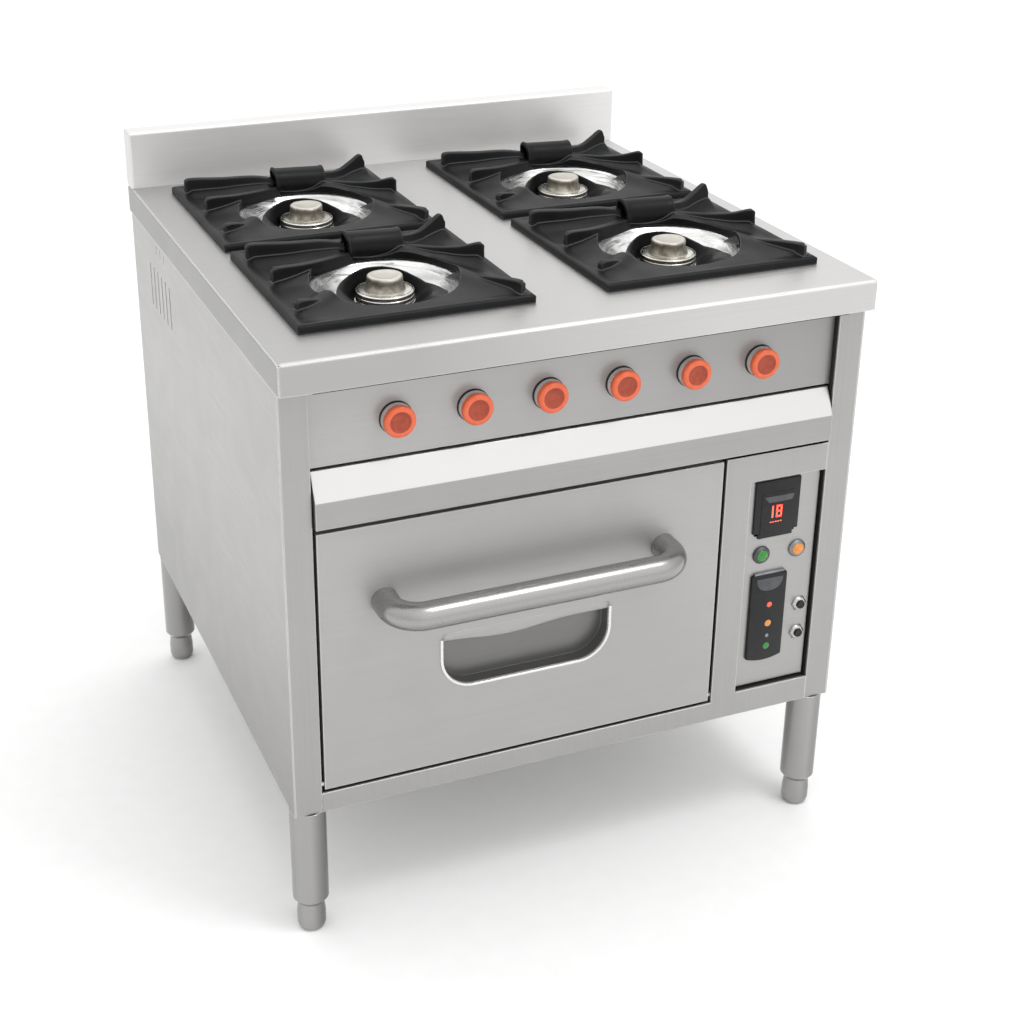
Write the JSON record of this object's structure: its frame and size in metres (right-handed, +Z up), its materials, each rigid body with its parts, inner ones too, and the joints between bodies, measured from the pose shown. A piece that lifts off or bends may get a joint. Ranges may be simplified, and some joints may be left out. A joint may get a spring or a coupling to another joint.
{
  "type": "commercial gas range",
  "caption": "Free-standing stainless commercial range: open gas burners under cast grates, knob panel, drip tray, drop-down oven door with tube handle, control niche and bullet feet.",
  "frame": {"origin": "on the floor, below the centre of the overall box, door handle included", "axes": "+Z up, +X to the right of someone facing the front, the front faces -Y"},
  "size_m": [0.9, 0.96, 1.02],
  "materials": {
    "stainless_sheet": "brushed stainless sheet",
    "stainless_tube": "satin stainless tube",
    "zinc_sheet": "plain galvanised sheet",
    "oven_enamel": "dark oven enamel",
    "bright_wire": "plated wire",
    "mineral_wool": "mineral wool and woven seal",
    "steel_pipe": "dull steel pipe",
    "brass_parts": "machined brass",
    "pin_steel": "bright steel",
    "dark_collar": "dark ring",
    "polished_bowl": "polished pressed steel",
    "cast_burner": "cast burner alloy",
    "cast_iron": "satin black cast iron",
    "red_plastic": "orange red moulded knob",
    "black_plastic": "black moulded plastic",
    "green_lens": "green pilot lens",
    "amber_lens": "amber pilot lens"
  },
  "bodies": {
    "cabinet": {"corner_posts": "stainless_sheet", "front_frame": "stainless_sheet", "left_side_panel": "stainless_sheet", "right_side_panel": "stainless_sheet", "rear_panel": "stainless_sheet", "base_panel": "stainless_sheet", "worktop": "stainless_sheet", "backsplash": "stainless_sheet", "control_panel": "stainless_sheet", "niche_panel": "stainless_sheet", "leg_tubes": "stainless_tube", "inner_rails": "zinc_sheet", "oven_liner": "oven_enamel", "oven_floor": "oven_enamel", "rack_guides": "bright_wire", "oven_insulation": "mineral_wool", "gas_manifold": "steel_pipe", "gas_tubes": "steel_pipe", "oven_burner": "steel_pipe", "gas_valves": "brass_parts", "gas_inlet": "brass_parts", "hinge_bushes": "brass_parts", "button_nuts": "pin_steel", "knob_collars": "dark_collar", "spill_bowls": "polished_bowl", "burner_bodies": "cast_burner", "temperature_controller": "black_plastic", "timer_module": "black_plastic", "cable_gland": "black_plastic", "green_lamp": "green_lens", "amber_lamp": "amber_lens"},
    "door": {"door_skin": "stainless_sheet", "door_pocket": "stainless_sheet", "door_insulation": "mineral_wool", "door_liner": "zinc_sheet", "door_gasket": "mineral_wool", "door_handle": "stainless_tube", "door_hinge_pins": "pin_steel"},
    "tray": {"drip_tray": "stainless_sheet"},
    "rack": {"oven_rack": "bright_wire"},
    "knob_body_1": {"knob_1": "red_plastic"},
    "knob_body_2": {"knob_2": "red_plastic"},
    "knob_body_3": {"knob_3": "red_plastic"},
    "knob_body_4": {"knob_4": "red_plastic"},
    "knob_body_5": {"knob_5": "red_plastic"},
    "knob_body_6": {"knob_6": "red_plastic"},
    "button_body_upper": {"button_upper": "black_plastic"},
    "button_body_lower": {"button_lower": "black_plastic"},
    "foot_body_front_left": {"foot_front_left": "stainless_tube"},
    "grate_body_front_left": {"grate_front_left": "cast_iron"},
    "cap_body_front_left": {"burner_cap_front_left": "cast_burner"},
    "foot_body_front_right": {"foot_front_right": "stainless_tube"},
    "grate_body_front_right": {"grate_front_right": "cast_iron"},
    "cap_body_front_right": {"burner_cap_front_right": "cast_burner"},
    "foot_body_rear_left": {"foot_rear_left": "stainless_tube"},
    "grate_body_rear_left": {"grate_rear_left": "cast_iron"},
    "cap_body_rear_left": {"burner_cap_rear_left": "cast_burner"},
    "foot_body_rear_right": {"foot_rear_right": "stainless_tube"},
    "grate_body_rear_right": {"grate_rear_right": "cast_iron"},
    "cap_body_rear_right": {"burner_cap_rear_right": "cast_burner"}
  },
  "joints": [
    {"name": "door_hinge", "type": "hinge", "parent": "cabinet", "child": "door", "pos_m": [-0.087, -0.39, 0.259], "axis": [1, 0, 0], "range_deg": [0, 90]},
    {"name": "tray_slide", "type": "slide", "parent": "cabinet", "child": "tray", "axis": [0, -1, 0], "range_m": [0, 0.4]},
    {"name": "rack_slide", "type": "slide", "parent": "cabinet", "child": "rack", "axis": [0, -1, 0], "range_m": [0, 0.05]},
    {"name": "knob_turn_1", "type": "hinge", "parent": "cabinet", "child": "knob_body_1", "pos_m": [-0.28, -0.395, 0.813], "axis": [0, -1, 0], "range_deg": [0, 180]},
    {"name": "knob_turn_2", "type": "hinge", "parent": "cabinet", "child": "knob_body_2", "pos_m": [-0.168, -0.395, 0.813], "axis": [0, -1, 0], "range_deg": [0, 180]},
    {"name": "knob_turn_3", "type": "hinge", "parent": "cabinet", "child": "knob_body_3", "pos_m": [-0.056, -0.395, 0.813], "axis": [0, -1, 0], "range_deg": [0, 180]},
    {"name": "knob_turn_4", "type": "hinge", "parent": "cabinet", "child": "knob_body_4", "pos_m": [0.056, -0.395, 0.813], "axis": [0, -1, 0], "range_deg": [0, 180]},
    {"name": "knob_turn_5", "type": "hinge", "parent": "cabinet", "child": "knob_body_5", "pos_m": [0.168, -0.395, 0.813], "axis": [0, -1, 0], "range_deg": [0, 180]},
    {"name": "knob_turn_6", "type": "hinge", "parent": "cabinet", "child": "knob_body_6", "pos_m": [0.28, -0.395, 0.813], "axis": [0, -1, 0], "range_deg": [0, 180]},
    {"name": "button_press_upper", "type": "slide", "parent": "cabinet", "child": "button_body_upper", "axis": [0, 1, 0], "range_m": [0, 0.003], "stiffness_N_per_m": 400},
    {"name": "button_press_lower", "type": "slide", "parent": "cabinet", "child": "button_body_lower", "axis": [0, 1, 0], "range_m": [0, 0.003], "stiffness_N_per_m": 400},
    {"name": "foot_screw_front_left", "type": "slide", "parent": "cabinet", "child": "foot_body_front_left", "axis": [0, 0, -1], "range_m": [0, 0.025]},
    {"name": "grate_lift_front_left", "type": "slide", "parent": "cabinet", "child": "grate_body_front_left", "axis": [0, 0, 1], "range_m": [0, 0.12]},
    {"name": "cap_lift_front_left", "type": "slide", "parent": "cabinet", "child": "cap_body_front_left", "axis": [0, 0, 1], "range_m": [0, 0.05]},
    {"name": "foot_screw_front_right", "type": "slide", "parent": "cabinet", "child": "foot_body_front_right", "axis": [0, 0, -1], "range_m": [0, 0.025]},
    {"name": "grate_lift_front_right", "type": "slide", "parent": "cabinet", "child": "grate_body_front_right", "axis": [0, 0, 1], "range_m": [0, 0.12]},
    {"name": "cap_lift_front_right", "type": "slide", "parent": "cabinet", "child": "cap_body_front_right", "axis": [0, 0, 1], "range_m": [0, 0.05]},
    {"name": "foot_screw_rear_left", "type": "slide", "parent": "cabinet", "child": "foot_body_rear_left", "axis": [0, 0, -1], "range_m": [0, 0.025]},
    {"name": "grate_lift_rear_left", "type": "slide", "parent": "cabinet", "child": "grate_body_rear_left", "axis": [0, 0, 1], "range_m": [0, 0.12]},
    {"name": "cap_lift_rear_left", "type": "slide", "parent": "cabinet", "child": "cap_body_rear_left", "axis": [0, 0, 1], "range_m": [0, 0.05]},
    {"name": "foot_screw_rear_right", "type": "slide", "parent": "cabinet", "child": "foot_body_rear_right", "axis": [0, 0, -1], "range_m": [0, 0.025]},
    {"name": "grate_lift_rear_right", "type": "slide", "parent": "cabinet", "child": "grate_body_rear_right", "axis": [0, 0, 1], "range_m": [0, 0.12]},
    {"name": "cap_lift_rear_right", "type": "slide", "parent": "cabinet", "child": "cap_body_rear_right", "axis": [0, 0, 1], "range_m": [0, 0.05]}
  ]
}
